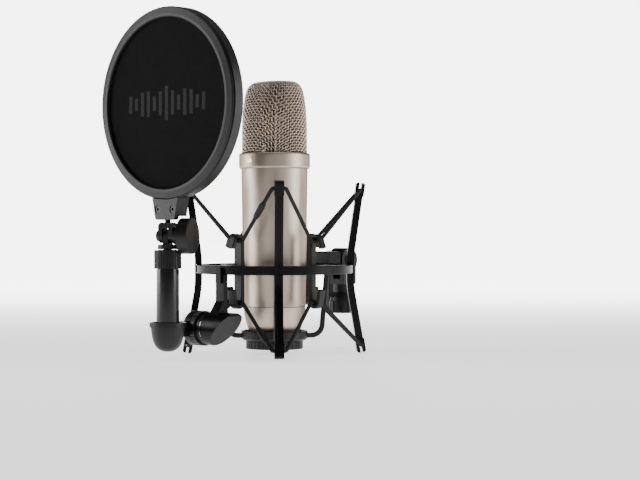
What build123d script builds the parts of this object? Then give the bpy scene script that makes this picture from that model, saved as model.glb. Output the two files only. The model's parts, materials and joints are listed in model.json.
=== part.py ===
"""Side-address studio microphone in an elastic shock mount, with a pop filter on an adjustable arm.

Units are millimetres and +Z is up. The microphone looks along -Y and the stand adapter is behind it.
Every function places its piece about the microphone's axis (X = Y = 0); save() then moves it so that the
origin is the mouth of the stand thread, STAND_REACH behind that axis. An azimuth is measured from the
front (-Y) towards +X.
"""

from build123d import *
from math import cos, radians, sin
import os

os.makedirs("parts", exist_ok=True)

# Overall placing
STAND_REACH = 78.0
MIC_YAW = -1.5
QUARTERS = (0, 90, 180, 270)
DIAGONALS = {"front_left": 315, "front_right": 45, "rear_right": 135, "rear_left": 225}
HOOK_SIDES = {"front": 0, "right": 90, "rear": 180, "left": 270}
GAP = 0.3
RUNNING = 0.06

# Microphone body
SPLIT_Z = 7.5
SHOULDER_Z = -11.0
MIC_BOTTOM_Z = -17.5
BODY_TOP_Z = 108.0
BODY_TOP_R = 24.3
BODY_LOW_R = 22.8
BODY_WALL = 1.6
BOSS_R = 13.5
SHOULDER_R = 18.3
CUP_CURVE = ((21.9, 1.0), (20.3, -5.5))
CUP_FLOOR_Z = -6.0
CUP_CAVITY = ((20.6, SPLIT_Z), (19.4, 0.0), (16.4, CUP_FLOOR_Z))
SPLIT_GAP = 0.4

# Grille head
COLLAR_R = 26.0
COLLAR_TOP_Z = 119.4
COLLAR_STEP_Z = 110.0
COLLAR_EDGE = 1.5
COLLAR_BORE_R = 23.2
GRILLE_SEAT = 0.05
GRILLE_R = 24.1
GRILLE_WALL = 1.1
LINING_GAP = 0.6
LINING_WALL = 0.7
# height, half width across, half depth front to back
GRILLE_SECTIONS = (
    (110.1, 24.1, 24.1),
    (134.0, 24.1, 24.05),
    (142.0, 24.1, 23.6),
    (149.0, 24.0, 22.8),
    (155.0, 23.9, 21.7),
    (160.0, 23.6, 20.5),
    (164.0, 23.1, 19.2),
    (167.0, 22.3, 17.8),
    (169.2, 21.0, 16.0),
    (170.8, 19.0, 13.6),
    (171.8, 16.2, 11.0),
    (172.3, 12.5, 8.0),
)
MARKER_R = 2.25
MARKER_Z = 113.9
MARKER_DEPTH = 1.0
MARKER_PROUD = 0.25
MARKER_EDGE = 0.2
HEAD_PLATE_R = 23.1
HEAD_PLATE_HOLE_R = 2.2
HEAD_PLATE_HOLES = (17, 6)

# Capsule
CAPSULE_Z = 146.0
CAPSULE_R = 16.9
BACKPLATE_R = 16.2
BACKPLATE_T = 5.0
DIAPHRAGM_T = 0.2
CAPSULE_RING_IN_R = 13.4
CAPSULE_RING_T = 1.6
CAPSULE_SCREWS = 8
CAPSULE_SCREW_R = 0.7
SADDLE_WALL = 2.2
SADDLE_DEPTH = 6.0
DAMPER_T = 0.8
DAMPER_TURNS = (-38, 38)
DAMPER_HALF_W = 5.0
BACKPLATE_HOLE_R = 0.8
BACKPLATE_HOLES = (9, 10)
CAPSULE_SCREW_CIRCLE_R = 15.1
CAPSULE_SCREW_H = 0.4
SADDLE_CUT = 8.0
SADDLE_POST_W = 14.0
SADDLE_FOOT = (22.0, 12.0, 3.0)

# Electronics
RAIL_X = 16.0
RAIL_T = 2.0
RAIL_W = 8.0
BOARD_W = 29.0
BOARD_T = 1.6
BOARD_LOW_Z = 14.0
BOARD_TOP_Z = 98.0
XLR_BORE_R = 9.5
XLR_BODY_R = 11.5
XLR_DEPTH = 14.8
XLR_PIN_R = 1.2
XLR_PIN_CIRCLE_R = 5.0
XLR_PIN_TIP = 0.6
XLR_PIN_RECESS = 1.2
XLR_PIN_TOP_Z = 8.0
XLR_TOP_Z = 3.0
XLR_LIP_R = 14.0
XLR_LIP_TOP_Z = -3.6
XLR_SCREW_R = 0.9
XLR_SCREW_TOP_Z = -1.6
XLR_SCREWS = (12.8, 4, 45)
# radius, length and height of each capacitor
CAPACITORS = ((4.0, 9.0, 28.0), (4.0, 9.0, 40.0), (3.0, 7.0, 52.0))
# left, right, height off the board, low and top of each block
BOARD_BLOCKS = ((-10, -4, 5, 60, 70), (2, 11, 4, 58, 64), (-9, 9, 7, 78, 94))
# left edges, then width, height off the board, low and top of the transistors
TRANSISTOR_X = (-12, -8, 7, 10.5)
TRANSISTOR = (2.4, 2, 20, 24)

# Cradle, the inner part of the shock mount
FLANGE_R = 24.3
FLANGE_TOP_Z = -11.8
FLANGE_EDGE_Z = -15.6
FLANGE_LOW_Z = -17.0
FLANGE_FOOT_R = 22.4
FLANGE_RIM_Z = -10.0
FLANGE_RIM_R = 22.4
FLANGE_BORE_R = 16.5
CRADLE_ARM_T = 3.6
CRADLE_ARM_W = 5.0
CRADLE_ARM_Z = -13.7
CRADLE_ARM_BEND = 8.0
CRADLE_ARM_X = (20.0, 34.3, 38.2)
CRADLE_ARM_EDGE = 1.0
CRADLE_RING_IN_R = 36.6
CRADLE_RING_OUT_R = 39.8
CRADLE_RING_H = 5.6
HOOK_R = 36.5
HOOK_T = 3.2
HOOK_W = 6.0
HOOK_OUT_R = 42.9
HOOK_BEND = 3.0
HOOK_EDGE = 0.9
HOOK_TOP_Z = 59.0
HOOK_LOW_Z = 8.6
HOOK_TOP_TIP = (46.2, 50.6)
HOOK_LOW_TIP = (45.4, 20.6)

# Retaining ring under the cradle
NUT_R = 20.9
NUT_TOP_Z = -17.3
NUT_LOW_Z = -23.2
NUT_COLLAR_R = 16.2
NUT_COLLAR_Z = -12.2
NUT_GRIPS = 36
NUT_GRIP_R = 0.5

# Cage, the outer part of the shock mount
RING_Z = 35.0
RING_H = 6.4
RING_IN_R = 53.6
RING_OUT_R = 57.2
RING_EDGE = 0.5
STRUT_T = 5.2
STRUT_W = 6.0
STRUT_TOP = (62.9, 95.0)
STRUT_LOW = (63.5, -23.2)
STRUT_BENDS = ((55.6, 44.0), (55.6, 22.0))
STRUT_BEND_R = 70.0
STRUT_GROOVE_W = 2.6
STRUT_GROOVE_T = 1.1
HEAD_T = 6.6
HEAD_W = 6.8
HEAD_L = 10.0
HEAD_ROUND = 1.6
NOTCH_W = 1.7
NOTCH_L = 12.0
NOTCH_LEAN = (8.0, -9.5)
HEAD_SINK = 2.0

# Elastic suspension
CORD_R = 1.4
CORD_HOLE_R = 1.6
CORD_BEND = 2.4
CORD_EXIT = 4.9
UPPER_ANCHOR = (62.5, 92.6)
LOWER_ANCHOR = (63.1, -20.8)
UPPER_HOOK_Z = 55.8
LOWER_HOOK_Z = 11.8
CORD_HOOK_R = 39.7
SPLICE_R = 2.3
SPLICE_L = 15.0
UPPER_SPLICE_AT = 0.42
LOWER_SPLICE_AT = 0.30
SPLICE_CUT = 0.5
SPLICE_TAPER = 4.0
SPLICE_LIP = 0.35
SPLICE_BORE_R = 1.45

# Tilt bracket on the back of the ring
SADDLE_HALF_X = 8.0
SADDLE_BACK_Y = 65.6
SADDLE_TOP_Z = 47.0
SADDLE_EDGE = 2.0
SADDLE_LIP = 1.4
TONGUE_FRONT_Y = 60.0
TONGUE_REACH_Z = (-7.0, 6.0)

# Stand adapter
PIVOT_Z = 40.5
EAR_R = 9.0
EAR_IN_X = 3.4
EAR_OUT_X = 7.0
TONGUE_X = 3.1
FORK_DEPTH = 14.5
PIVOT_R = 3.0
HUB_R = 10.3
HUB_H = 9.1
HUB_FLUTES = 12
NECK_R = 7.25
NECK_Z = 16.0
NECK_TOP_Z = 29.0
FORK_LOW_Z = 22.0
CONE = ((9.9, 9.0), (9.6, 12.0))
FLUTE_R = 0.9
INSERT_FLOOR = 0.5
NECK_SLOT = (1.6, 12.0, 21.0)
BOLT_HEAD_R = 4.4
BOLT_HEAD_T = 1.8
BOLT_HEX_R = 2.0
LEVER_HUB_R = 6.8
LEVER_TIP_R = 2.4
LEVER_GRIP_Z = (4.5, 7.5, 10.5, 13.5)
LEVER_GRIP_W = 1.2
LEVER_GRIP_DEPTH = 0.7
THREAD_R = 7.94
THREAD_L = 10.0
INSERT_R = 9.0
LEVER_IN_X = 7.4
LEVER_OUT_X = 14.4
LEVER_T = 3.6
LEVER_W = 6.4
LEVER_L = 40.0

# Filter arm: the hinge barrel hangs under the front of the cage ring
SWING_Y = -59.0
SWING_Z = -6.5
BARREL_R = 11.8
BARREL_LEFT_X = -7.6
BARREL_RIGHT_X = 15.8
BAR_W = 7.8
BAR_T = 4.0
BAR_Y = -56.0
SCOOP_LOW_X = -3.5
SCOOP_TOP_Z = 3.0
AXLE_R = 3.0
AXLE_HEAD_R = 6.0
AXLE_END_X = 3.0
LUG_HALF_X = 2.4
LUG_FRONT_Y = -59.8
LUG_DROP = 6.0
LUG_RISE = 2.2
GUSSET_TOP_Z = 16.0
GUSSET_REACH = 9.0
GUSSET_RISE = (6.0, 4.0)
WASHER_R = 11.3
WASHER_T = 0.7
LOCK_RING_R = 12.5
LOCK_RING_X = (-17.8, -12.9)
LOCK_STEP_X = -8.7
LOCK_STEP_R = 11.0
LOCK_RING_GRIPS = 28
LOCK_GRIP_R = 0.45
LOCK_STEP_EDGE = 0.8
EYE_X = (-23.6, -18.2)
AXLE_HEAD_X = (-26.4, -23.9)

# Filter arm: cup, pole and knuckle
POLE_X = -10.1
POLE_Y = -99.5
CUP_TOP_Z = -0.4
CUP_LIP_H = 3.3
CUP_R = 12.8
CUP_BOWL_R = 11.9
CUP_LOW_Z = -20.9
LINK_H = 11.0
LINK_END_R = 3.0
CUP_BELLY = (0.86, 9.6)
CUP_SEAT = 1.6
CUP_RIM_T = 1.4
POLE_SINK = 8.0
POLE_FLOOR = 5.0
POLE_R = 8.0
POLE_BORE_R = 6.56
POLE_TOP_Z = 36.5
POLE_NECK_R = 7.2
POLE_NECK_Z = 47.0
COLLAR_GRIP_R = 9.5
COLLAR_GRIP_TOP_Z = 49.7
COLLAR_GRIPS = 30
COLLAR_FLUTE_R = 0.4
INNER_POLE_R = 6.5
INNER_POLE_TOP_Z = 50.0
STUB_R = 3.0
STUB_TOP_Z = 52.4
INNER_POLE_WALL = 1.2
INNER_POLE_BORE_Z = 44.0
KNUCKLE_YAW = 22.0
KNUCKLE_BASE_R = 7.0
KNUCKLE_BASE_Z = (50.3, 53.4)
TILT_Z = 59.5
TONGUE_T = 4.0
TONGUE_W = 9.0
YOKE_EAR_T = 3.0
YOKE_W = 10.0
YOKE_TOP_Z = 68.8
YOKE_EDGE = 2.6
YOKE_SLOT_TOP = 5.4
TILT_HEAD_R = 3.8
TILT_HEAD_T = 2.2
TILT_HEAD_EDGE = 0.8
TILT_BOLT_R = 1.8
KNOB_R = 12.5
KNOB_IN = 10.8
KNOB_OUT = 19.0
KNOB_HUB_R = 6.0
KNOB_EDGE = 1.0
KNOB_FACE = 2.8
NECK_PIN_R = 2.0
NECK_PIN_TOP_Z = 78.0

# Pop filter
FILTER_YAW = -1.8
FILTER_Z = 151.8
FILTER_R = 67.0
BEZEL_FRONT_Y = -3.8
BEZEL_EDGE_Y = -2.4
CLOTH_Y = -1.1
HOOP_REAR_Y = 8.4
BEZEL_IN_R = 59.6
HOOP_IN_R = 61.4
CLOTH_R = 64.0
CLOTH_T = 0.8
BRACKET_Z = (70.6, 87.0)
BRACKET_TOP_W = 26.4
BRACKET_LOW_W = 19.4
BRACKET_Y = (-2.9, 0.9, 8.2)
BRACKET_SCREW_X = 7.5
BRACKET_SCREW_Z = 78.0
SCREW_R = 1.3
SCREW_HEAD_R = 2.5
SCREW_BITE = 4.0
SCREW_SEAT = 1.8
BRACKET_EDGE = 2.2
BLOCK_LOW_Z = 73.2


def save(name, shape):
    """Moves the origin to the stand thread's mouth and writes one node."""
    export_step(shape.moved(Location((0, -STAND_REACH, 0))), f"parts/{name}.step")


def group(pieces):
    """Several separate solids that share one node."""
    return Compound(children=[solid for piece in pieces for solid in piece.solids()])


def polar(radius, azimuth, height):
    angle = radians(azimuth)
    return Vector(radius * sin(angle), -radius * cos(angle), height)


def to_azimuth(shape, azimuth):
    """Turns a piece that was built along +X to an azimuth."""
    return Rot(0, 0, azimuth - 90) * shape


def tube(outer_r, inner_r, low_z, top_z):
    """An upright ring between two heights."""
    height = top_z - low_z
    middle = Pos(0, 0, (low_z + top_z) / 2)
    if not inner_r:
        return middle * Cylinder(outer_r, height)
    return middle * (Cylinder(outer_r, height) - Cylinder(inner_r, height))


def turned(profile):
    """A solid of revolution about Z from a face or a list of (radius, height) corners."""
    if isinstance(profile, (list, tuple)):
        profile = make_face(Polyline(*profile, close=True))
    return revolve(Plane.XZ * profile, Axis.Z)


def rod_x(radius, left, right, y, z):
    """A rod along X between two places."""
    return Pos((left + right) / 2, y, z) * Rot(0, 90, 0) * Cylinder(radius, right - left)


def disc_y(radius, front, back, z):
    """A disc whose axis is Y, between two places."""
    return Pos(0, (front + back) / 2, z) * Rot(90, 0, 0) * Cylinder(radius, back - front)


def block(x, y, z):
    """A box given by its low and high places on each axis."""
    size = [high - low for low, high in (x, y, z)]
    middle = [(high + low) / 2 for low, high in (x, y, z)]
    return Pos(*middle) * Box(*size)


def fluted(radius, count, groove_r):
    """A round outline with small grooves round its edge, for grips."""
    return Circle(radius) - PolarLocations(radius, count) * Circle(groove_r)


# ---------------------------------------------------------------- microphone


def body_radius(z):
    """The sleeve tapers slightly towards its base."""
    share = (z - SPLIT_Z) / (BODY_TOP_Z - SPLIT_Z)
    return BODY_LOW_R + share * (BODY_TOP_R - BODY_LOW_R)


def body_sleeve():
    low, top = SPLIT_Z + SPLIT_GAP, BODY_TOP_Z
    return turned(
        [
            (body_radius(low), low),
            (body_radius(top), top),
            (body_radius(top) - BODY_WALL, top),
            (body_radius(low) - BODY_WALL, low),
        ]
    )


def base_cup():
    """Rounded lower cup with the threaded boss that the retaining ring screws on."""
    wall = Spline((BODY_LOW_R, SPLIT_Z), *CUP_CURVE, (SHOULDER_R, SHOULDER_Z))
    cavity = Spline(*CUP_CAVITY)
    outline = (
        wall,
        Polyline(
            wall @ 1,
            (BOSS_R, SHOULDER_Z),
            (BOSS_R, MIC_BOTTOM_Z),
            (XLR_BODY_R, MIC_BOTTOM_Z),
            (XLR_BODY_R, CUP_FLOOR_Z),
            cavity @ 1,
        ),
        cavity,
        Line(cavity @ 0, wall @ 0),
    )
    return turned(make_face(outline))


def grille_collar():
    ring = turned(
        [
            (COLLAR_R, BODY_TOP_Z),
            (COLLAR_R, COLLAR_TOP_Z),
            (GRILLE_R + GRILLE_SEAT, COLLAR_TOP_Z),
            (GRILLE_R + GRILLE_SEAT, COLLAR_STEP_Z),
            (COLLAR_BORE_R, COLLAR_STEP_Z),
            (COLLAR_BORE_R, BODY_TOP_Z),
        ]
    )
    edges = ring.edges().filter_by(GeomType.CIRCLE).filter_by(
        lambda edge: abs(edge.radius - COLLAR_R) < 0.01
    )
    ring = fillet(edges, COLLAR_EDGE)
    recess = disc_y(MARKER_R, -COLLAR_R - 1, -COLLAR_R + MARKER_DEPTH, MARKER_Z)
    return Rot(0, 0, MIC_YAW) * (ring - recess)


def front_marker():
    """Round inlay that shows the front of the capsule."""
    dot = disc_y(MARKER_R, -COLLAR_R - MARKER_PROUD, -COLLAR_R + MARKER_DEPTH, MARKER_Z)
    dot = fillet(dot.edges().group_by(Axis.Y)[0], MARKER_EDGE)
    return Rot(0, 0, MIC_YAW) * dot


def grille_form(inset):
    """Solid wedge-shaped head, drawn in by an inset."""
    low_z, top_z = GRILLE_SECTIONS[0][0], GRILLE_SECTIONS[-1][0]
    shrink = (top_z - inset - low_z) / (top_z - low_z)
    sections = [
        Pos(0, 0, low_z + (z - low_z) * shrink) * Ellipse(across - inset, depth - inset)
        for z, across, depth in GRILLE_SECTIONS
    ]
    return loft(sections, ruled=True)


def grille_mesh():
    return Rot(0, 0, MIC_YAW) * (grille_form(0) - grille_form(GRILLE_WALL))


def grille_lining():
    outside = GRILLE_WALL + LINING_GAP
    return Rot(0, 0, MIC_YAW) * (grille_form(outside) - grille_form(outside + LINING_WALL))


def head_plate():
    plate = tube(HEAD_PLATE_R, 0, BODY_TOP_Z + 0.1, COLLAR_STEP_Z)
    hole = tube(HEAD_PLATE_HOLE_R, 0, BODY_TOP_Z - 1, COLLAR_STEP_Z + 1)
    plate -= PolarLocations(*HEAD_PLATE_HOLES) * hole
    return Rot(0, 0, MIC_YAW) * plate


def capsule_backplate():
    plate = disc_y(BACKPLATE_R, -BACKPLATE_T / 2, BACKPLATE_T / 2, CAPSULE_Z)
    for place in PolarLocations(*BACKPLATE_HOLES):
        hole = Cylinder(BACKPLATE_HOLE_R, BACKPLATE_T * 2)
        plate -= Pos(0, 0, CAPSULE_Z) * Rot(90, 0, 0) * place * hole
    return Rot(0, 0, MIC_YAW) * plate


def capsule_diaphragms():
    inside = BACKPLATE_T / 2
    outside = inside + DIAPHRAGM_T
    front = disc_y(BACKPLATE_R, -outside, -inside, CAPSULE_Z)
    rear = disc_y(BACKPLATE_R, inside, outside, CAPSULE_Z)
    return Rot(0, 0, MIC_YAW) * group([front, rear])


def capsule_rings():
    inside = BACKPLATE_T / 2 + DIAPHRAGM_T
    outside = inside + CAPSULE_RING_T
    pieces = []
    for low, high in ((-outside, -inside), (inside, outside)):
        ring = disc_y(CAPSULE_R, low, high, CAPSULE_Z)
        pieces.append(ring - disc_y(CAPSULE_RING_IN_R, low, high, CAPSULE_Z))
    return Rot(0, 0, MIC_YAW) * group(pieces)


def capsule_screws():
    """Small heads round each clamping ring."""
    face = BACKPLATE_T / 2 + DIAPHRAGM_T + CAPSULE_RING_T
    pieces = []
    for side in (-1, 1):
        for index in range(CAPSULE_SCREWS):
            turn = Rot(0, (index + 0.5) * 360 / CAPSULE_SCREWS, 0)
            spot = turn * Pos(CAPSULE_SCREW_CIRCLE_R, side * (face + CAPSULE_SCREW_H / 2), 0)
            head = Rot(90, 0, 0) * Cylinder(CAPSULE_SCREW_R, CAPSULE_SCREW_H)
            pieces.append(Pos(0, 0, CAPSULE_Z) * spot * head)
    return Rot(0, 0, MIC_YAW) * group(pieces)


def capsule_saddle():
    """Yoke that carries the capsule on the head plate."""
    inner = CAPSULE_R + DAMPER_T
    outer = inner + SADDLE_WALL
    half = SADDLE_DEPTH / 2
    ring = disc_y(outer, -half, half, CAPSULE_Z) - disc_y(inner, -half, half, CAPSULE_Z)
    ring &= block((-outer, outer), (-half, half), (CAPSULE_Z - outer, CAPSULE_Z - SADDLE_CUT))
    post_half = SADDLE_POST_W / 2
    post = block((-post_half, post_half), (-half, half), (COLLAR_STEP_Z, CAPSULE_Z - inner - 0.5))
    foot_w, foot_d, foot_h = SADDLE_FOOT
    foot = Pos(0, 0, COLLAR_STEP_Z + foot_h / 2) * Box(foot_w, foot_d, foot_h)
    return Rot(0, 0, MIC_YAW) * (ring + post + foot)


def saddle_dampers():
    """Two soft pads between the yoke and the capsule."""
    inner = CAPSULE_R
    outer = inner + DAMPER_T
    half = BACKPLATE_T / 2 + DIAPHRAGM_T + CAPSULE_RING_T
    pads = []
    for turn in DAMPER_TURNS:
        ring = disc_y(outer, -half, half, 0) - disc_y(inner, -half, half, 0)
        ring &= block((-DAMPER_HALF_W, DAMPER_HALF_W), (-half, half), (-outer, -inner + 2))
        pads.append(Pos(0, 0, CAPSULE_Z) * Rot(0, turn, 0) * ring)
    return Rot(0, 0, MIC_YAW) * group(pads)


def chassis_rails():
    rails = [
        block(
            (side * RAIL_X - RAIL_T / 2, side * RAIL_X + RAIL_T / 2),
            (-RAIL_W / 2, RAIL_W / 2),
            (SPLIT_Z + 1, BODY_TOP_Z),
        )
        for side in (-1, 1)
    ]
    return Rot(0, 0, MIC_YAW) * group(rails)


def circuit_board():
    board = block((-BOARD_W / 2, BOARD_W / 2), (-BOARD_T / 2, BOARD_T / 2), (BOARD_LOW_Z, BOARD_TOP_Z))
    return Rot(0, 0, MIC_YAW) * board


def board_components():
    """Capacitors, transistors and a shielded input stage on the front of the board."""
    face = -BOARD_T / 2
    pieces = [disc_y(radius, face - length, face, z) for radius, length, z in CAPACITORS]
    for left, right, deep, low, top in BOARD_BLOCKS:
        pieces.append(block((left, right), (face - deep, face), (low, top)))
    width, deep, low, top = TRANSISTOR
    for left in TRANSISTOR_X:
        pieces.append(block((left, left + width), (face - deep, face), (low, top)))
    return Rot(0, 0, MIC_YAW) * group(pieces)


def xlr_insert():
    """Three-pin male inlet, open downwards."""
    floor_z = MIC_BOTTOM_Z + XLR_DEPTH
    body = tube(XLR_BODY_R, 0, MIC_BOTTOM_Z, XLR_TOP_Z)
    body += tube(XLR_LIP_R, 0, CUP_FLOOR_Z, XLR_LIP_TOP_Z)
    body -= tube(XLR_BORE_R, 0, MIC_BOTTOM_Z, floor_z)
    body -= PolarLocations(XLR_PIN_CIRCLE_R, 3, 90) * Cylinder(XLR_PIN_R, 60)
    return Rot(0, 0, MIC_YAW) * body


def xlr_pins():
    pin = tube(XLR_PIN_R, 0, MIC_BOTTOM_Z + XLR_PIN_RECESS, XLR_PIN_TOP_Z)
    pin = fillet(pin.edges().group_by(Axis.Z)[0], XLR_PIN_TIP)
    pins = [place * pin for place in PolarLocations(XLR_PIN_CIRCLE_R, 3, 90)]
    return Rot(0, 0, MIC_YAW) * group(pins)


def chassis_screws():
    """Screws that hold the inlet's lip to the cup's floor."""
    screw = tube(XLR_SCREW_R, 0, XLR_LIP_TOP_Z, XLR_SCREW_TOP_Z)
    screws = [place * screw for place in PolarLocations(*XLR_SCREWS)]
    return Rot(0, 0, MIC_YAW) * group(screws)


# -------------------------------------------------------------------- cradle


def base_flange():
    return turned(
        [
            (FLANGE_BORE_R, FLANGE_TOP_Z),
            (FLANGE_RIM_R - 0.8, FLANGE_TOP_Z),
            (FLANGE_RIM_R, FLANGE_RIM_Z),
            (FLANGE_R - 0.6, FLANGE_RIM_Z),
            (FLANGE_R, FLANGE_RIM_Z - 0.6),
            (FLANGE_R, FLANGE_EDGE_Z),
            (FLANGE_FOOT_R, FLANGE_LOW_Z),
            (FLANGE_BORE_R, FLANGE_LOW_Z),
        ]
    )


def flange_gasket():
    return tube(SHOULDER_R, FLANGE_BORE_R + 0.1, FLANGE_TOP_Z, SHOULDER_Z)


def cradle_ring():
    half = CRADLE_RING_H / 2
    return tube(CRADLE_RING_OUT_R, CRADLE_RING_IN_R, RING_Z - half, RING_Z + half)


def cradle_arm():
    """Bent arm from the flange up to the cradle ring."""
    top = RING_Z - CRADLE_RING_H / 2
    root, elbow, tip = CRADLE_ARM_X
    path = FilletPolyline(
        (root, 0, CRADLE_ARM_Z), (elbow, 0, CRADLE_ARM_Z), (tip, 0, top), radius=CRADLE_ARM_BEND
    )
    start = Plane(origin=path @ 0, x_dir=(0, 1, 0), z_dir=path % 0)
    arm = sweep(start * RectangleRounded(CRADLE_ARM_W, CRADLE_ARM_T, CRADLE_ARM_EDGE), path=path)
    arm &= block((0, 60), (-10, 10), (-40, top))
    return arm - tube(FLANGE_R, 0, -40, 0)


def cradle_arms():
    return group([to_azimuth(cradle_arm(), azimuth) for azimuth in DIAGONALS.values()])


def hook_strut():
    """Upright of the cradle with a crook at each end for the elastic."""
    path = FilletPolyline(
        (HOOK_TOP_TIP[0], 0, HOOK_TOP_TIP[1]),
        (HOOK_OUT_R, 0, HOOK_TOP_Z),
        (HOOK_R, 0, HOOK_TOP_Z),
        (HOOK_R, 0, HOOK_LOW_Z),
        (HOOK_OUT_R, 0, HOOK_LOW_Z),
        (HOOK_LOW_TIP[0], 0, HOOK_LOW_TIP[1]),
        radius=HOOK_BEND,
    )
    start = Plane(origin=path @ 0, x_dir=(0, 1, 0), z_dir=path % 0)
    strut = sweep(start * RectangleRounded(HOOK_W, HOOK_T, HOOK_EDGE), path=path)
    return strut - cradle_ring()


def retaining_ring():
    """Knurled ring nut, with a collar that reaches up through the flange to the boss."""
    grip = Pos(0, 0, NUT_LOW_Z) * extrude(fluted(NUT_R, NUT_GRIPS, NUT_GRIP_R), NUT_TOP_Z - NUT_LOW_Z)
    grip += tube(NUT_COLLAR_R, 0, NUT_TOP_Z - 1, NUT_COLLAR_Z)
    return grip - tube(BOSS_R + RUNNING, 0, NUT_LOW_Z, NUT_COLLAR_Z)


# ---------------------------------------------------------------------- cage


def cage_ring():
    ring = tube(RING_OUT_R, RING_IN_R, RING_Z - RING_H / 2, RING_Z + RING_H / 2)
    return chamfer(ring.edges().filter_by(GeomType.CIRCLE), RING_EDGE)


def strut_head(path, end, turn):
    """Rounded block at a strut's end with the hole and snap-in notch for the elastic."""
    frame = Plane(origin=path @ end, x_dir=(0, 1, 0), z_dir=(path % end) * turn)
    block_shape = Pos(0, 0, -HEAD_SINK) * Box(HEAD_W, HEAD_T, HEAD_L)
    edges = block_shape.edges().filter_by(Axis.X).group_by(Axis.Z)[-1]
    return frame * fillet(edges, HEAD_ROUND)


def strut_cutter(anchor, upward):
    """Cord hole across the strut, open through a narrow notch to the strut's end."""
    hole = Pos(anchor[0], 0, anchor[1]) * Rot(90, 0, 0) * Cylinder(CORD_HOLE_R, 20)
    low, high = (anchor[1], anchor[1] + NOTCH_L) if upward else (anchor[1] - NOTCH_L, anchor[1])
    notch = block((-NOTCH_W / 2, NOTCH_W / 2), (-10, 10), (low, high))
    lean = NOTCH_LEAN[0] if upward else NOTCH_LEAN[1]
    middle = Pos(anchor[0], 0, anchor[1])
    return hole + middle * Rot(0, lean, 0) * Pos(0, 0, -anchor[1]) * notch


def cage_strut():
    path = FilletPolyline(
        (STRUT_LOW[0], 0, STRUT_LOW[1]),
        (STRUT_BENDS[1][0], 0, STRUT_BENDS[1][1]),
        (STRUT_BENDS[0][0], 0, STRUT_BENDS[0][1]),
        (STRUT_TOP[0], 0, STRUT_TOP[1]),
        radius=STRUT_BEND_R,
    )
    channel = Rectangle(STRUT_W, STRUT_T)
    start = Plane(origin=path @ 0, x_dir=(0, 1, 0), z_dir=path % 0)
    outer_side = 1 if (start * Pos(0, 1, 0)).position.X > (path @ 0).X else -1
    groove_y = outer_side * (STRUT_T - STRUT_GROOVE_T) / 2
    channel -= Pos(0, groove_y) * Rectangle(STRUT_GROOVE_W, STRUT_GROOVE_T)
    strut = sweep(start * channel, path=path)
    strut += strut_head(path, 1, 1) + strut_head(path, 0, -1)
    strut -= strut_cutter(UPPER_ANCHOR, True) + strut_cutter(LOWER_ANCHOR, False)
    return strut - tube(RING_OUT_R, RING_IN_R, RING_Z - RING_H / 2, RING_Z + RING_H / 2)


def rear_bracket():
    """Saddle on the back of the ring that carries the tilt pivot's tongue."""
    wide = (-SADDLE_HALF_X, SADDLE_HALF_X)
    low_ring, top_ring = RING_Z - RING_H / 2, RING_Z + RING_H / 2
    saddle = block(wide, (RING_IN_R - SADDLE_LIP, SADDLE_BACK_Y), (top_ring, SADDLE_TOP_Z))
    saddle = fillet(saddle.edges().filter_by(Axis.X).group_by(Axis.Z)[-1], SADDLE_EDGE)
    back = block(wide, (RING_OUT_R, SADDLE_BACK_Y), (low_ring + 1, top_ring + 1))
    reach = [PIVOT_Z + away for away in TONGUE_REACH_Z]
    tongue = block((-TONGUE_X, TONGUE_X), (TONGUE_FRONT_Y, STAND_REACH), reach)
    eye = rod_x(EAR_R, -TONGUE_X, TONGUE_X, STAND_REACH, PIVOT_Z)
    bracket = saddle + back + tongue + eye
    bracket -= tube(RING_OUT_R, RING_IN_R, low_ring, top_ring)
    return bracket - rod_x(PIVOT_R + RUNNING, -20, 20, STAND_REACH, PIVOT_Z)


def arm_hanger():
    """Bar below the front of the ring, ending in the scooped barrel of the arm's hinge."""
    low_ring = RING_Z - RING_H / 2
    bar = block(
        (-BAR_W / 2, BAR_W / 2), (BAR_Y - BAR_T / 2, BAR_Y + BAR_T / 2), (SWING_Z, low_ring)
    )
    lug = block(
        (-LUG_HALF_X, LUG_HALF_X), (LUG_FRONT_Y, -RING_OUT_R), (low_ring - LUG_DROP, RING_Z + LUG_RISE)
    )
    lug = fillet(lug.edges().filter_by(Axis.Y).group_by(Axis.Z)[-1], LUG_HALF_X - 0.2)
    barrel = rod_x(BARREL_R, BARREL_LEFT_X, BARREL_RIGHT_X, SWING_Y, SWING_Z)
    low_z = SWING_Z - BARREL_R
    scoop = Plane.XZ * make_face(
        Polyline(
            (BARREL_RIGHT_X, SCOOP_TOP_Z),
            (SCOOP_LOW_X, low_z),
            (SCOOP_LOW_X, low_z - 10),
            (BARREL_RIGHT_X + 10, low_z - 10),
            (BARREL_RIGHT_X + 10, SCOOP_TOP_Z),
            close=True,
        )
    )
    barrel -= Pos(0, SWING_Y, 0) * extrude(scoop, BARREL_R + 2, both=True)
    gusset = Plane.YZ * make_face(
        Polyline(
            (BAR_Y, GUSSET_TOP_Z),
            (SWING_Y - GUSSET_REACH, SWING_Z + GUSSET_RISE[0]),
            (BAR_Y, SWING_Z + GUSSET_RISE[1]),
            close=True,
        )
    )
    gusset = extrude(gusset, BAR_W / 2, both=True)
    hanger = bar + lug + barrel + gusset
    return hanger - rod_x(AXLE_R, BARREL_LEFT_X - 1, AXLE_END_X, SWING_Y, SWING_Z)


def swing_axle():
    """Hinge axle of the filter arm, with its head on the outer side."""
    head = rod_x(AXLE_HEAD_R, *AXLE_HEAD_X, SWING_Y, SWING_Z)
    return head + rod_x(AXLE_R, AXLE_HEAD_X[1] - 0.5, AXLE_END_X, SWING_Y, SWING_Z)


def swing_washer():
    left = BARREL_LEFT_X - WASHER_T
    disc = rod_x(WASHER_R, left, BARREL_LEFT_X, SWING_Y, SWING_Z)
    return disc - rod_x(AXLE_R, left - 1, 0, SWING_Y, SWING_Z)


# ------------------------------------------------------------ elastic cords


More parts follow.
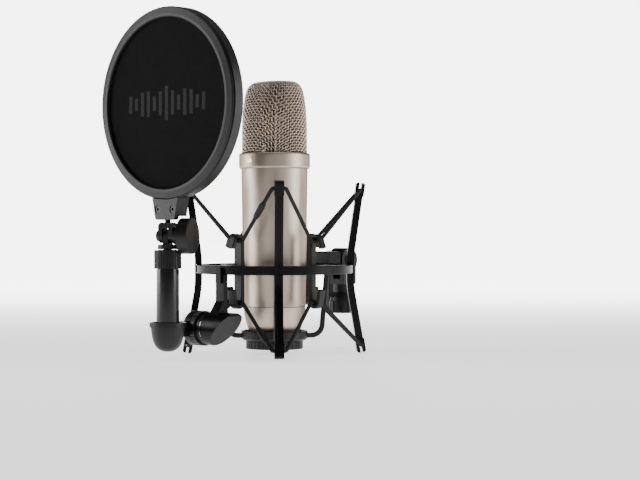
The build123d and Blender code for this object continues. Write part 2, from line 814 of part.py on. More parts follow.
def elastic_corners(anchor, hook_z, splice_at):
    """Corners of the zigzag, from the splice round all heads and hooks back to the splice."""
    radius, anchor_z = anchor

    def pair(place_r, azimuth, z):
        middle = polar(place_r, azimuth, z)
        along = polar(1, azimuth + 90, 0)
        return [middle - along * CORD_EXIT, middle + along * CORD_EXIT]

    corners = []
    for quarter in QUARTERS:
        corners += pair(radius, quarter + 45, anchor_z)
        corners += pair(CORD_HOOK_R, quarter + 90, hook_z)
    head, hook = corners[0], corners[-1]
    span = hook - head
    splice = head + span * splice_at
    step = span.normalized() * (SPLICE_CUT / 2)
    return [splice - step] + corners + [splice + step], splice, span.normalized()


def elastic(anchor, hook_z, splice_at):
    corners, _, _ = elastic_corners(anchor, hook_z, splice_at)
    path = FilletPolyline(*corners, radius=CORD_BEND)
    start = Plane(origin=path @ 0, z_dir=path % 0)
    return sweep(start * Circle(CORD_R), path=path)


def splice_sleeve(anchor, hook_z, splice_at):
    """Tapered sleeve that joins the two ends of an elastic."""
    _, middle, along = elastic_corners(anchor, hook_z, splice_at)
    half = SPLICE_L / 2
    bore = SPLICE_BORE_R
    profile = [
        (bore, -half),
        (bore + SPLICE_LIP, -half),
        (SPLICE_R, SPLICE_TAPER - half),
        (SPLICE_R, half - SPLICE_TAPER),
        (bore + SPLICE_LIP, half),
        (bore, half),
    ]
    return Plane(origin=middle, z_dir=along) * turned(profile)


# ------------------------------------------------------------- stand adapter


def adapter_body():
    """Fork for the tilt pivot on a neck that widens to the fluted thread hub."""
    hub = extrude(fluted(HUB_R, HUB_FLUTES, FLUTE_R), HUB_H)
    cone = turned([(0, CONE[0][1]), *CONE, (NECK_R, NECK_Z), (NECK_R, NECK_TOP_Z), (0, NECK_TOP_Z)])
    ears = rod_x(EAR_R, -EAR_OUT_X, EAR_OUT_X, 0, PIVOT_Z)
    neck_top = block((-EAR_OUT_X, EAR_OUT_X), (-NECK_R, NECK_R), (FORK_LOW_Z, PIVOT_Z))
    fork = ears + neck_top
    slot = rod_x(EAR_R + 0.6, -EAR_IN_X, EAR_IN_X, 0, PIVOT_Z)
    slot += block((-EAR_IN_X, EAR_IN_X), (-20, 0), (PIVOT_Z - FORK_DEPTH, PIVOT_Z + 20))
    body = hub + cone + fork - slot
    body -= tube(INSERT_R, 0, 0, THREAD_L + INSERT_FLOOR)
    body -= rod_x(PIVOT_R, -20, 20, 0, PIVOT_Z)
    half, low, top = NECK_SLOT
    body -= block((NECK_R - half, NECK_R + 3), (-half, half), (low, top))
    return Pos(0, STAND_REACH, 0) * body


def thread_insert():
    """Metal insert with the stand thread, shown at its nominal diameter."""
    sleeve = tube(INSERT_R, 0, 0, THREAD_L + INSERT_FLOOR) - tube(THREAD_R, 0, 0, THREAD_L)
    return Pos(0, STAND_REACH, 0) * sleeve


def pivot_bolt():
    """Tilt pivot: a socket head on one side, the lever's thread on the other."""
    head = rod_x(BOLT_HEAD_R, EAR_OUT_X, EAR_OUT_X + BOLT_HEAD_T, 0, PIVOT_Z)
    socket = Rot(0, 90, 0) * extrude(RegularPolygon(BOLT_HEX_R, 6), 3)
    head -= Pos(EAR_OUT_X + 0.6, 0, PIVOT_Z) * socket
    shank = rod_x(PIVOT_R, -LEVER_OUT_X, EAR_OUT_X + 0.5, 0, PIVOT_Z)
    return Pos(0, STAND_REACH, 0) * (head + shank)


def tension_lever():
    """Lever that clamps the tilt pivot, hanging down on the far side."""
    hub = rod_x(LEVER_HUB_R, -LEVER_OUT_X, -LEVER_IN_X, 0, PIVOT_Z)
    across = (-LEVER_W / 2, LEVER_W / 2)
    paddle = block((-LEVER_OUT_X, LEVER_T - LEVER_OUT_X), across, (PIVOT_Z - LEVER_L, PIVOT_Z))
    paddle = fillet(paddle.edges().filter_by(Axis.X).group_by(Axis.Z)[0], LEVER_TIP_R)
    lever = hub + paddle
    for z in LEVER_GRIP_Z:
        lever -= block((-LEVER_OUT_X, LEVER_GRIP_DEPTH - LEVER_OUT_X), (-4, 4), (z, z + LEVER_GRIP_W))
    lever -= rod_x(PIVOT_R + RUNNING, -20, 0, 0, PIVOT_Z)
    return Pos(0, STAND_REACH, 0) * lever


# ---------------------------------------------------------------- filter arm


def swing_lock_ring():
    left, right = LOCK_RING_X
    grip = extrude(fluted(LOCK_RING_R, LOCK_RING_GRIPS, LOCK_GRIP_R), right - left)
    ring = Pos(left, SWING_Y, SWING_Z) * Rot(0, 90, 0) * grip
    step = rod_x(LOCK_STEP_R, right, LOCK_STEP_X, SWING_Y, SWING_Z)
    ring += fillet(step.edges().group_by(Axis.X)[-1], LOCK_STEP_EDGE)
    return ring - rod_x(AXLE_R + RUNNING, left - 1, LOCK_STEP_X + 1, SWING_Y, SWING_Z)


def elbow_cup():
    """Hinge eye, link and the rounded cup that the pole stands in."""
    bowl = Spline(
        (CUP_BOWL_R, CUP_TOP_Z - CUP_LIP_H),
        (CUP_BOWL_R * CUP_BELLY[0], CUP_TOP_Z - CUP_LIP_H - CUP_BELLY[1]),
        (0, CUP_LOW_Z),
        tangents=((-0.12, -1), (-1, 0)),
    )
    rim = Polyline(
        bowl @ 1,
        (0, CUP_TOP_Z - CUP_SEAT),
        (POLE_R + CUP_RIM_T, CUP_TOP_Z - CUP_SEAT),
        (CUP_R - CUP_RIM_T, CUP_TOP_Z),
        (CUP_R, CUP_TOP_Z),
        (CUP_R, CUP_TOP_Z - CUP_LIP_H),
        bowl @ 0,
    )
    cup = Pos(POLE_X, POLE_Y, 0) * turned(make_face((bowl, rim)))
    eye = rod_x(LOCK_RING_R, *EYE_X, SWING_Y, SWING_Z)
    half = LINK_H / 2
    link = block(EYE_X, (POLE_Y + 2, SWING_Y), (SWING_Z - half, SWING_Z + half))
    link = fillet(link.edges().filter_by(Axis.X).group_by(Axis.Y)[0], LINK_END_R)
    eye_hole = rod_x(AXLE_R + RUNNING, EYE_X[0] - 1, EYE_X[1] + 1, SWING_Y, SWING_Z)
    socket = Pos(POLE_X, POLE_Y, 0) * tube(POLE_R, 0, CUP_TOP_Z - POLE_SINK, CUP_TOP_Z + 10)
    return cup + eye + link - eye_hole - socket


def outer_pole():
    pole = tube(POLE_R, 0, CUP_TOP_Z - POLE_SINK, POLE_TOP_Z)
    pole += tube(POLE_NECK_R, 0, POLE_TOP_Z, POLE_NECK_Z)
    return Pos(POLE_X, POLE_Y, 0) * (pole - tube(POLE_BORE_R, 0, CUP_TOP_Z - POLE_FLOOR, POLE_NECK_Z))


def pole_collar():
    """Knurled twist lock round the top of the outer pole."""
    low = POLE_TOP_Z + GAP
    outline = fluted(COLLAR_GRIP_R, COLLAR_GRIPS, COLLAR_FLUTE_R)
    grip = Pos(0, 0, low) * extrude(outline, COLLAR_GRIP_TOP_Z - low)
    grip -= tube(POLE_NECK_R + RUNNING, 0, low, POLE_NECK_Z + GAP)
    grip -= tube(INNER_POLE_R + RUNNING, 0, POLE_NECK_Z, COLLAR_GRIP_TOP_Z)
    return Pos(POLE_X, POLE_Y, 0) * grip


def inner_pole():
    pole = tube(INNER_POLE_R, 0, 0, INNER_POLE_TOP_Z) - tube(INNER_POLE_R - INNER_POLE_WALL, 0, 0, INNER_POLE_BORE_Z)
    return Pos(POLE_X, POLE_Y, 0) * (pole + tube(STUB_R, 0, INNER_POLE_TOP_Z, STUB_TOP_Z))


def at_knuckle(shape):
    """Places a piece built about the tilt axis (along X, at the origin) on the pole."""
    return Pos(POLE_X, POLE_Y, TILT_Z) * Rot(0, 0, KNUCKLE_YAW) * shape


def knuckle_tongue():
    """Turning base on the inner pole, with the upright tongue of the tilt joint."""
    low, top = KNUCKLE_BASE_Z[0] - TILT_Z, KNUCKLE_BASE_Z[1] - TILT_Z
    base = tube(KNUCKLE_BASE_R, 0, low, top) - tube(STUB_R + RUNNING, 0, low, STUB_TOP_Z + 0.2 - TILT_Z)
    half = TONGUE_T / 2
    plate = block((-half, half), (-TONGUE_W / 2, TONGUE_W / 2), (top - 0.5, 0))
    eye = rod_x(TONGUE_W / 2, -half, half, 0, 0)
    return at_knuckle(base + plate + eye - rod_x(TILT_BOLT_R, -10, 10, 0, 0))


def tilt_yoke():
    """Upside-down fork over the tongue, with the pin that the filter turns on."""
    inside = TONGUE_T / 2 + GAP
    outside = inside + YOKE_EAR_T
    half = YOKE_W / 2
    bridge_top = YOKE_TOP_Z - TILT_Z
    yoke = rod_x(half, -outside, outside, 0, 0)
    yoke += block((-outside, outside), (-half, half), (0, bridge_top))
    yoke = fillet(yoke.edges().filter_by(Axis.Y).group_by(Axis.Z)[-1], YOKE_EDGE)
    yoke -= block((-inside, inside), (-half - 1, half + 1), (-half - 1, YOKE_SLOT_TOP))
    yoke -= rod_x(TILT_BOLT_R + RUNNING, -10, 10, 0, 0)
    return at_knuckle(yoke + tube(NECK_PIN_R, 0, bridge_top, NECK_PIN_TOP_Z - TILT_Z))


def tilt_bolt():
    head_at = TONGUE_T / 2 + GAP + YOKE_EAR_T + GAP
    head = rod_x(TILT_HEAD_R, -head_at - TILT_HEAD_T, -head_at, 0, 0)
    head = fillet(head.edges().group_by(Axis.X)[0], TILT_HEAD_EDGE)
    return at_knuckle(head + rod_x(TILT_BOLT_R, -head_at - 0.5, KNOB_OUT - KNOB_FACE - 0.2, 0, 0))


def tilt_knob():
    """Round clamping knob with a hub towards the yoke."""
    hub_at = TONGUE_T / 2 + GAP + YOKE_EAR_T + GAP
    disc = rod_x(KNOB_R, KNOB_IN, KNOB_OUT, 0, 0)
    disc = fillet(disc.edges().group_by(Axis.X)[-1], KNOB_EDGE)
    knob = disc + rod_x(KNOB_HUB_R, hub_at, KNOB_IN, 0, 0)
    return at_knuckle(knob - rod_x(TILT_BOLT_R + RUNNING, 0, KNOB_OUT - KNOB_FACE, 0, 0))


# ---------------------------------------------------------------- pop filter


def at_filter(shape):
    """Places a piece built about the filter's upright axis (facing -Y) on the pole."""
    return Pos(POLE_X, POLE_Y, 0) * Rot(0, 0, FILTER_YAW) * shape


def wheel(profile):
    """A ring about the filter's own axis from (radius, depth) corners; depth runs to the rear."""
    solid = turned(profile)
    return Pos(0, 0, FILTER_Z) * Rot(-90, 0, 0) * solid


def filter_bezel():
    """Front ring: its face falls away a little from the inner edge to the outer one."""
    split = CLOTH_Y - CLOTH_T / 2
    return at_filter(
        wheel(
            [
                (BEZEL_IN_R, split),
                (BEZEL_IN_R, BEZEL_FRONT_Y + 0.6),
                (BEZEL_IN_R + 0.6, BEZEL_FRONT_Y),
                (BEZEL_IN_R + 2.4, BEZEL_FRONT_Y),
                (FILTER_R - 0.8, BEZEL_EDGE_Y - 0.5),
                (FILTER_R, BEZEL_EDGE_Y + 0.3),
                (FILTER_R, split - 0.4),
                (FILTER_R - 0.7, split),
            ]
        )
    )


def filter_hoop():
    """Deeper rear ring that the cloth is clamped against."""
    split = CLOTH_Y + CLOTH_T / 2
    return at_filter(
        wheel(
            [
                (HOOP_IN_R, split),
                (FILTER_R - 0.7, split),
                (FILTER_R, split + 0.4),
                (FILTER_R, HOOP_REAR_Y - 1.4),
                (FILTER_R - 1.4, HOOP_REAR_Y),
                (HOOP_IN_R + 1.0, HOOP_REAR_Y),
                (HOOP_IN_R, HOOP_REAR_Y - 1.0),
            ]
        )
    )


def filter_cloth():
    half = CLOTH_T / 2
    return at_filter(disc_y(CLOTH_R, CLOTH_Y - half, CLOTH_Y + half, FILTER_Z))


def rim_space():
    """The space that the filter's rim takes, left out of the bracket."""
    return disc_y(FILTER_R, BEZEL_FRONT_Y, HOOP_REAR_Y + 0.1, FILTER_Z)


def bracket_outline():
    low, top = BRACKET_Z
    return Plane.XZ * make_face(
        Polyline(
            (-BRACKET_LOW_W / 2, low),
            (BRACKET_LOW_W / 2, low),
            (BRACKET_TOP_W / 2, top),
            (-BRACKET_TOP_W / 2, top),
            close=True,
        )
    )


def bracket_plate(front, back):
    """A slice of the trapezoid bracket between two depths, with rounded lower corners."""
    plate = Pos(0, back, 0) * extrude(bracket_outline(), back - front)
    return fillet(plate.edges().filter_by(Axis.Y).group_by(Axis.Z)[0], BRACKET_EDGE)


def screw_places():
    return [Pos(side * BRACKET_SCREW_X, 0, BRACKET_SCREW_Z) for side in (-1, 1)]


def filter_bracket():
    """Front plate of the bracket, with recessed screw seats."""
    front, back, _ = BRACKET_Y
    plate = bracket_plate(front, back)
    for place in screw_places():
        plate -= place * disc_y(SCREW_HEAD_R + 0.1, front - 1, front + SCREW_SEAT, 0)
        plate -= place * disc_y(SCREW_R, front, back + 1, 0)
    return at_filter(plate - neck_space() - rim_space())


def bracket_block():
    """Rear part of the bracket that holds the rim and turns on the neck pin."""
    _, front, back = BRACKET_Y
    body = bracket_plate(front, back)
    body -= block((-BRACKET_TOP_W, BRACKET_TOP_W), (front - 1, back + 1), (0, BLOCK_LOW_Z))
    for place in screw_places():
        body -= place * disc_y(SCREW_R, front - 1, front + SCREW_BITE, 0)
    return at_filter(body - neck_space() - rim_space())


def neck_space():
    """Bearing of the neck pin in the bracket."""
    return tube(NECK_PIN_R + RUNNING, 0, BRACKET_Z[0] - 1, NECK_PIN_TOP_Z + 0.2)


def bracket_screws():
    """Countersunk screws with a round driver recess."""
    front, back, _ = BRACKET_Y
    screws = []
    for place in screw_places():
        head = disc_y(SCREW_HEAD_R, front + 0.5, front + SCREW_SEAT, 0)
        head -= disc_y(SCREW_HEAD_R * 0.45, front, front + 1.3, 0)
        screws.append(place * (head + disc_y(SCREW_R, front + 1.6, back + SCREW_BITE, 0)))
    return at_filter(group(screws))


# ------------------------------------------------------------------- writing

ELASTICS = {
    "upper": (UPPER_ANCHOR, UPPER_HOOK_Z, UPPER_SPLICE_AT),
    "lower": (LOWER_ANCHOR, LOWER_HOOK_Z, LOWER_SPLICE_AT),
}

SINGLE_PIECES = (
    body_sleeve,
    base_cup,
    grille_collar,
    front_marker,
    grille_mesh,
    grille_lining,
    head_plate,
    capsule_backplate,
    capsule_diaphragms,
    capsule_rings,
    capsule_screws,
    capsule_saddle,
    saddle_dampers,
    chassis_rails,
    circuit_board,
    board_components,
    xlr_insert,
    xlr_pins,
    chassis_screws,
    base_flange,
    flange_gasket,
    cradle_ring,
    cradle_arms,
    retaining_ring,
    cage_ring,
    rear_bracket,
    arm_hanger,
    swing_axle,
    swing_washer,
    adapter_body,
    thread_insert,
    pivot_bolt,
    tension_lever,
    swing_lock_ring,
    elbow_cup,
    outer_pole,
    pole_collar,
    inner_pole,
    knuckle_tongue,
    tilt_yoke,
    tilt_bolt,
    tilt_knob,
    filter_bezel,
    filter_hoop,
    filter_cloth,
    filter_bracket,
    bracket_block,
    bracket_screws,
)

for make in SINGLE_PIECES:
    save(make.__name__, make())

for side, azimuth in HOOK_SIDES.items():
    save(f"hook_strut_{side}", to_azimuth(hook_strut(), azimuth))

for corner, azimuth in DIAGONALS.items():
    save(f"cage_strut_{corner}", to_azimuth(cage_strut(), azimuth))

for name, (anchor, hook_z, splice_at) in ELASTICS.items():
    save(f"{name}_elastic", elastic(anchor, hook_z, splice_at))
    save(f"{name}_splice", splice_sleeve(anchor, hook_z, splice_at))
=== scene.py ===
"""Looks of a side-address studio microphone in an elastic shock mount with a pop filter.

Lengths are metres in the row frame. The microphone's axis is upright at MIC, its front faces -Y, and the
stand adapter is behind it. An azimuth is measured from the front (-Y) towards +X.
"""

import json
import math

import bpy
import numpy as np
from mathutils import Matrix, Vector


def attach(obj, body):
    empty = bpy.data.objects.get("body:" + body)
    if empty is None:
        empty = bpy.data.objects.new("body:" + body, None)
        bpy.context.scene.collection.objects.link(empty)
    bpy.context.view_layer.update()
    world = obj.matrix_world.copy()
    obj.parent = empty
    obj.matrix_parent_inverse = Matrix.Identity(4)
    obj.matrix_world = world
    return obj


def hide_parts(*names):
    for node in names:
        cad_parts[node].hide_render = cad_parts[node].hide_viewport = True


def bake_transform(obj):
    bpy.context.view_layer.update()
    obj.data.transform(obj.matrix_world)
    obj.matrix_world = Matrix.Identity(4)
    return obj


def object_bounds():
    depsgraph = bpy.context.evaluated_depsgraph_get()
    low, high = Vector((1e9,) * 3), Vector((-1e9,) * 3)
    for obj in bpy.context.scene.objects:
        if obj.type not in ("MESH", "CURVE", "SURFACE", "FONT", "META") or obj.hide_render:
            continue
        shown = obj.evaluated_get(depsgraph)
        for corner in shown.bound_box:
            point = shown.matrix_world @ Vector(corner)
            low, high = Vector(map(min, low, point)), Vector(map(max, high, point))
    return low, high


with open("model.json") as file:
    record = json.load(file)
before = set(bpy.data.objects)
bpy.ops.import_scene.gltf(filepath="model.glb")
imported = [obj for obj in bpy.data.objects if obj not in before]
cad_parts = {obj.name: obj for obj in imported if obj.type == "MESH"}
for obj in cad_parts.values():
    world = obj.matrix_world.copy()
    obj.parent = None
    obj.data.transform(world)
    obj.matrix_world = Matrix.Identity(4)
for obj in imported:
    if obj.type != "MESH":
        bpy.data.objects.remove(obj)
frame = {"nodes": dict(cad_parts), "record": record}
cad_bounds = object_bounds()

MM = 0.001
MIC = Vector((0, -0.078, 0))
MIC_YAW = math.radians(-1.5)
FILTER_YAW = math.radians(-1.8)
POLE = Vector((-0.0101, -0.1775, 0))
FILTER_Z = 0.1518
CLOTH_Y = -0.0011
FILTER_CENTRE = POLE + Matrix.Rotation(FILTER_YAW, 3, "Z") @ Vector((0, CLOTH_Y, FILTER_Z))


# ------------------------------------------------------------------ materials

# places on a colour ramp: most of the change lies in the middle of the noise
MIDDLE = (0.3, 0.7)
GRAIN_DEPTH = 0.00005
MOULDED_EDGE = 0.0003
FINE_GRAIN = 1900
SOFT_GRAIN = 1300

# slot: darkest and lightest grey, roughness, shine, grain
MOULDED = {
    "black_insulator": (0.0050, 0.0100, 0.50, 0.50, FINE_GRAIN),
    "soft_rubber": (0.0100, 0.0180, 0.80, 0.50, SOFT_GRAIN),
    "splice_rubber": (0.0050, 0.0100, 0.60, 0.40, SOFT_GRAIN),
    "cradle_plastic": (0.0022, 0.0045, 0.44, 0.38, FINE_GRAIN),
    "cage_plastic": (0.0008, 0.0018, 0.34, 0.18, FINE_GRAIN),
    "adapter_plastic": (0.0022, 0.0045, 0.40, 0.38, FINE_GRAIN),
    "lock_plastic": (0.0020, 0.0042, 0.38, 0.34, FINE_GRAIN),
    "bezel_plastic": (0.0070, 0.0120, 0.46, 0.36, FINE_GRAIN),
    "hoop_plastic": (0.0055, 0.0100, 0.38, 0.44, FINE_GRAIN),
}


class Paint:
    """A material with one Principled shader and short ways to wire procedural detail into it."""

    def __init__(self, name, rough, metal=0.0, **single):
        self.mat = bpy.data.materials.new(name)
        self.mat.use_nodes = True
        self.tree = self.mat.node_tree
        self.shader = self.tree.nodes["Principled BSDF"]
        self.shader.inputs["Roughness"].default_value = rough
        self.shader.inputs["Metallic"].default_value = metal
        for socket, value in single.items():
            self.shader.inputs[socket.replace("_", " ")].default_value = value
        self.place = self.node("ShaderNodeTexCoord").outputs["Object"]

    def node(self, kind, **settings):
        made = self.tree.nodes.new(kind)
        for key, value in settings.items():
            setattr(made, key, value)
        return made

    def link(self, a, b):
        self.tree.links.new(a, b)

    def use_uv(self):
        self.place = self.node("ShaderNodeTexCoord").outputs["UV"]

    def stretch(self, scale, turn=(0, 0, 0)):
        mapping = self.node("ShaderNodeMapping")
        mapping.inputs["Scale"].default_value = scale
        mapping.inputs["Rotation"].default_value = turn
        self.link(self.place, mapping.inputs["Vector"])
        return mapping.outputs["Vector"]

    def noise(self, scale, detail=3.0, rough=0.55, vector=None):
        made = self.node("ShaderNodeTexNoise")
        made.inputs["Scale"].default_value = scale
        made.inputs["Detail"].default_value = detail
        made.inputs["Roughness"].default_value = rough
        self.link(vector or self.place, made.inputs["Vector"])
        return made.outputs["Fac"]

    def wave(self, scale, direction="X", distort=0.0, vector=None):
        made = self.node("ShaderNodeTexWave", wave_type="BANDS", bands_direction=direction)
        made.inputs["Scale"].default_value = scale
        made.inputs["Distortion"].default_value = distort
        self.link(vector or self.place, made.inputs["Vector"])
        return made.outputs["Fac"]

    def maths(self, operation, a, b=0.0, c=0.0):
        made = self.node("ShaderNodeMath", operation=operation)
        for socket, value in zip(made.inputs, (a, b, c)):
            if isinstance(value, (int, float)):
                socket.default_value = value
            else:
                self.link(value, socket)
        return made.outputs[0]

    def ramp(self, value, low, high, at=(0.0, 1.0)):
        made = self.node("ShaderNodeValToRGB")
        for stop, place, colour in zip(made.color_ramp.elements, at, (low, high)):
            stop.position = place
            stop.color = (*colour, 1)
        self.link(value, made.inputs["Fac"])
        return made.outputs["Color"]

    def spread(self, value, low, high):
        made = self.node("ShaderNodeMapRange")
        made.inputs["To Min"].default_value = low
        made.inputs["To Max"].default_value = high
        self.link(value, made.inputs["Value"])
        return made.outputs["Result"]

    def colour(self, value, low, high, at=(0.0, 1.0)):
        self.link(self.ramp(value, low, high, at), self.shader.inputs["Base Color"])

    def roughness(self, value, low, high):
        self.link(self.spread(value, low, high), self.shader.inputs["Roughness"])

    def bumps(self, *layers, edge=0.0):
        """Each layer is (height, distance in metres). The edge rounds sharp corners in the shading."""
        normal = None
        if edge:
            soft = self.node("ShaderNodeBevel", samples=4)
            soft.inputs["Radius"].default_value = edge
            normal = soft.outputs["Normal"]
        for height, distance in layers:
            bump = self.node("ShaderNodeBump")
            bump.inputs["Distance"].default_value = distance
            self.link(height, bump.inputs["Height"])
            if normal:
                self.link(normal, bump.inputs["Normal"])
            normal = bump.outputs["Normal"]
        self.link(normal, self.shader.inputs["Normal"])


def shade(level):
    """A neutral grey, a hair towards blue."""
    return (level, level, level * 1.02)


def moulded(name, low, high, rough, shine, grain):
    """Moulded plastic: fine spark-eroded grain, faint mottling, rounded edges."""
    paint = Paint(name, rough, Specular_IOR_Level=shine)
    mottle = paint.noise(70, 4)
    fine = paint.noise(grain, 2)
    paint.colour(mottle, shade(low), shade(high), MIDDLE)
    paint.roughness(mottle, rough - 0.05, rough + 0.08)
    paint.bumps((fine, GRAIN_DEPTH), (mottle, GRAIN_DEPTH * 0.6), edge=MOULDED_EDGE)
    return paint.mat


def machined(name, low, high, rough, stretch, edge=0.00015, **single):
    """Metal with fine tool lines along the direction that isn't stretched."""
    paint = Paint(name, rough, 1.0, **single)
    lines = paint.noise(900, 2, vector=paint.stretch(stretch))
    cloud = paint.noise(120, 3)
    paint.colour(cloud, low, high, MIDDLE)
    paint.roughness(lines, rough - 0.06, rough + 0.10)
    paint.bumps((lines, 0.000015), edge=edge)
    return paint.mat


def satin_nickel():
    """Bead-blasted nickel: very fine even grain, with slow clouding."""
    # the dark brown specular tint darkens reflections towards grazing angles: painted shade along the body's
    # edges
    paint = Paint("satin_nickel", 0.36, 1.0, Specular_Tint=(0.34, 0.29, 0.25, 1))
    fine = paint.noise(3600, 2)
    cloud = paint.noise(26, 3)
    paint.colour(cloud, (0.590, 0.490, 0.405), (0.640, 0.540, 0.450), MIDDLE)
    paint.roughness(fine, 0.36, 0.46)
    paint.bumps((fine, 0.000012), edge=0.00025)
    return paint.mat


def wire_metal(name, low, high, rough):
    paint = Paint(name, rough, 1.0)
    fine = paint.noise(2600, 2)
    cloud = paint.noise(150, 3)
    paint.colour(cloud, low, high, MIDDLE)
    paint.roughness(fine, rough - 0.07, rough + 0.08)
    paint.bumps((fine, 0.00001))
    return paint.mat


def gold():
    paint = Paint("gold", 0.2, 1.0)
    fine = paint.noise(2400, 2)
    paint.colour(paint.noise(300, 2), (0.86, 0.66, 0.28), (0.95, 0.78, 0.40))
    paint.roughness(fine, 0.14, 0.30)
    paint.bumps((fine, 0.000008))
    return paint.mat


def board():
    """Green solder mask over copper tracks, with round pads."""
    paint = Paint("board", 0.35)
    tracks = paint.node("ShaderNodeTexBrick")
    tracks.inputs["Scale"].default_value = 140
    tracks.inputs["Mortar Size"].default_value = 0.035
    tracks.inputs["Color1"].default_value = (0.016, 0.105, 0.050, 1)
    tracks.inputs["Color2"].default_value = (0.020, 0.125, 0.060, 1)
    tracks.inputs["Mortar"].default_value = (0.045, 0.220, 0.110, 1)
    paint.link(paint.stretch((1, 1, 1), (math.radians(90), 0, 0)), tracks.inputs["Vector"])
    paint.link(tracks.outputs["Color"], paint.shader.inputs["Base Color"])
    paint.bumps((tracks.outputs["Fac"], 0.00004), (paint.noise(1500, 2), 0.00001))
    return paint.mat


def components():
    """Capacitor sleeves and cans: dark film with fine bands."""
    paint = Paint("components", 0.3, Coat_Weight=0.3)
    bands = paint.wave(320, "Z", 1.5)
    paint.colour(bands, (0.020, 0.022, 0.045), (0.060, 0.064, 0.095), (0.42, 0.58))
    paint.roughness(bands, 0.22, 0.38)
    paint.bumps((paint.noise(900, 2), 0.00002), edge=0.0002)
    return paint.mat


def gloss_pole():
    paint = Paint("pole_gloss", 0.12, 0.0, Coat_Weight=0.2, Coat_Roughness=0.05, Specular_IOR_Level=0.3)
    streaks = paint.noise(700, 3, vector=paint.stretch((1, 1, 0.03)))
    cloud = paint.noise(90, 3)
    paint.colour(cloud, (0.0020, 0.0020, 0.0022), (0.0042, 0.0042, 0.0045), MIDDLE)
    paint.roughness(streaks, 0.08, 0.18)
    paint.bumps((streaks, 0.000003), edge=0.0002)
    return paint.mat


BRAID_LAY = math.radians(38)
BRAID_BANDS = 1.27
BRAID_STRANDS = 4


def braid():
    """Braided sheath over a rubber core. U runs round the cord and V along it, in turns of the braid."""
    paint = Paint("elastic_cord", 0.75, Specular_IOR_Level=0.3)
    paint.use_uv()
    left, right = (
        paint.wave(BRAID_BANDS, "X", vector=paint.stretch((BRAID_STRANDS, 1, 1), (0, 0, lay)))
        for lay in (BRAID_LAY, -BRAID_LAY)
    )
    weave = paint.maths("MAXIMUM", left, right)
    paint.colour(weave, (0.003, 0.003, 0.003), (0.022, 0.022, 0.023), (0.2, 0.9))
    paint.bumps((weave, 0.00016), (paint.noise(60, 2), 0.00003))
    return paint.mat


THREADS = 380
THREAD_WANDER = 0.15


def filter_fabric():
    """Black open weave with a printed row of plain upright bars across its middle."""
    paint = Paint("filter_fabric", 0.9, Specular_IOR_Level=0.15)
    across = paint.wave(THREADS, "X", THREAD_WANDER)
    upright = paint.wave(THREADS, "Z", THREAD_WANDER)
    threads = paint.maths("MAXIMUM", across, upright)
    slub = paint.noise(240, 3, vector=paint.stretch((1, 1, 0.12)))
    black = paint.ramp(threads, (0.0004, 0.0004, 0.0004), (0.0046, 0.0046, 0.0047), (0.35, 0.95))
    grey = paint.ramp(threads, (0.004, 0.004, 0.004), (0.040, 0.040, 0.041), (0.2, 0.9))
    split = paint.node("ShaderNodeSeparateXYZ")
    paint.link(paint.place, split.inputs[0])
    away_x = paint.maths("SUBTRACT", split.outputs[0], FILTER_CENTRE.x)
    away_y = paint.maths("SUBTRACT", split.outputs[1], FILTER_CENTRE.y)
    x = paint.maths(
        "ADD",
        paint.maths("MULTIPLY", away_x, math.cos(FILTER_YAW)),
        paint.maths("MULTIPLY", away_y, math.sin(FILTER_YAW)),
    )
    z = paint.maths("SUBTRACT", split.outputs[2], FILTER_CENTRE.z)
    mask = None
    for place, half in BARS:
        away = paint.maths("ABSOLUTE", paint.maths("SUBTRACT", x, place))
        near_x = paint.maths("LESS_THAN", away, BAR_HALF)
        near_z = paint.maths("LESS_THAN", paint.maths("ABSOLUTE", z), half)
        one = paint.maths("MULTIPLY", near_x, near_z)
        mask = one if mask is None else paint.maths("MAXIMUM", mask, one)
    mix = paint.node("ShaderNodeMix", data_type="RGBA")
    paint.link(mask, mix.inputs["Factor"])
    paint.link(black, mix.inputs[6])
    paint.link(grey, mix.inputs[7])
    paint.link(mix.outputs[2], paint.shader.inputs["Base Color"])
    paint.bumps((threads, 0.00012), (slub, 0.00006))
    return paint.mat


BAR_HALF = 0.0016
BAR_PITCH = 0.0062
BAR_LOW, BAR_HIGH = 0.0035, 0.0120
BARS_A_SIDE = 6
BAR_WAVE = 0.9
BAR_FADE = 0.09


def bar_height(step):
    """Half height of a bar: a wave that dies away to both sides."""
    return BAR_LOW + (BAR_HIGH - BAR_LOW) * abs(math.cos(step * BAR_WAVE)) * (1 - abs(step) * BAR_FADE)


BARS = [(BAR_PITCH * step, bar_height(step)) for step in range(-BARS_A_SIDE, BARS_A_SIDE + 1)]

INNER_MESH = wire_metal("inner_mesh", (0.012, 0.010, 0.009), (0.024, 0.021, 0.018), 0.5)
LOOKS = {
    "satin_nickel": satin_nickel(),
    "grille_wire": wire_metal("grille_wire", (0.56, 0.465, 0.385), (0.66, 0.555, 0.465), 0.24),
    "gold": gold(),
    "brass": machined("brass", (0.60, 0.44, 0.20), (0.72, 0.55, 0.28), 0.28, (1, 1, 6)),
    "bright_steel": machined("bright_steel", (0.60, 0.60, 0.61), (0.74, 0.74, 0.75), 0.22, (1, 6, 6)),
    "dark_steel": machined("dark_steel", (0.030, 0.030, 0.032), (0.060, 0.060, 0.063), 0.34, (1, 6, 6)),
    "board": board(),
    "components": components(),
    "elastic_cord": braid(),
    "pole_gloss": gloss_pole(),
    "filter_fabric": filter_fabric(),
    **{slot: moulded(slot, *values) for slot, values in MOULDED.items()},
}

for entry in frame["record"]["subparts"]:
    mesh = frame["nodes"][entry["node"]].data
    mesh.materials.clear()
    mesh.materials.append(LOOKS[entry["material_slot"]])


# -------------------------------------------------------------------- meshes


def add(name, mesh, slot, look=None):
    thing = bpy.data.objects.new(name, mesh)
    bpy.context.scene.collection.objects.link(thing)
    mesh.materials.append(look or LOOKS[slot])
    return thing


# a direction that no path starts in
ASKEW = (0.31, 0.52, 0.79)


